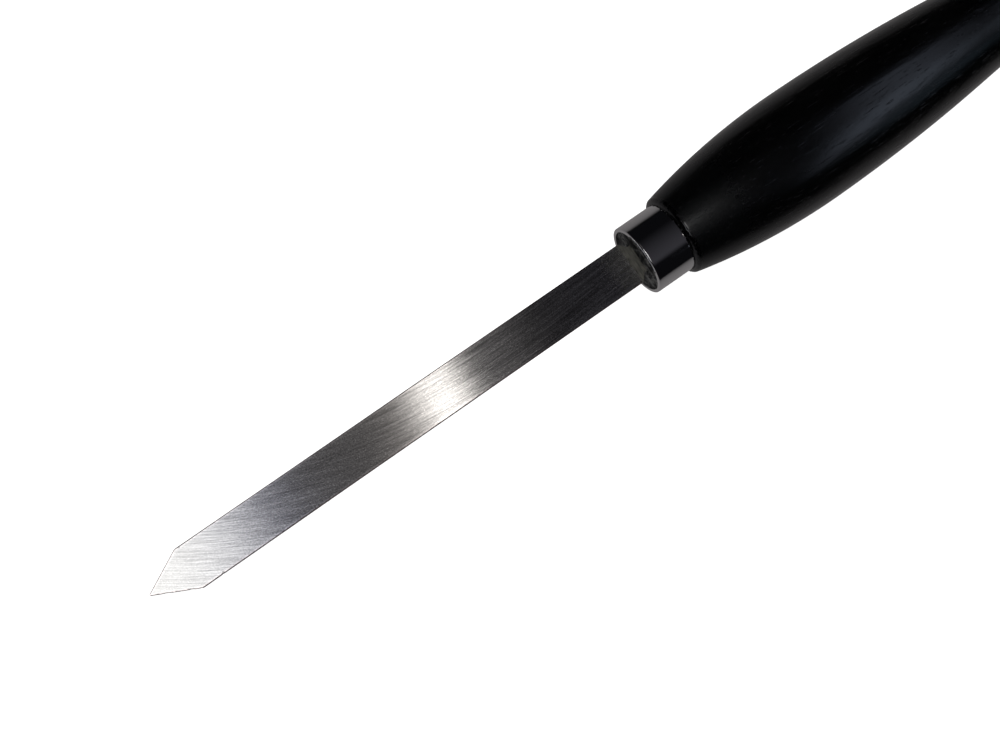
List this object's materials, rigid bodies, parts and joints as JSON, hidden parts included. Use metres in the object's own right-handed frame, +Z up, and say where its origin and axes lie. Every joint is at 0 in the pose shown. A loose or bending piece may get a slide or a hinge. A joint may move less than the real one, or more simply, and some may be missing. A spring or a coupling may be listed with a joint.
{
  "type": "parting tool",
  "caption": "Woodturning parting tool: flat steel blade with a ground point, a plated ferrule and a turned black wooden handle, lying as it rests on a bench.",
  "frame": {"origin": "on the surface the tool lies on, under the middle of its bounding box", "axes": "+X towards the cutting point, +Z up from the surface, +Y to the side; the tool lies point down by 4.3 degrees and rolled by 8.6 degrees about its own length"},
  "size_m": [0.3882, 0.0354, 0.044],
  "materials": {
    "blade_steel": "satin",
    "ferrule_plate": "polished",
    "handle_wood": "satin"
  },
  "bodies": {
    "root": {"blade": "blade_steel", "ferrule": "ferrule_plate", "handle": "handle_wood"}
  },
  "joints": []
}
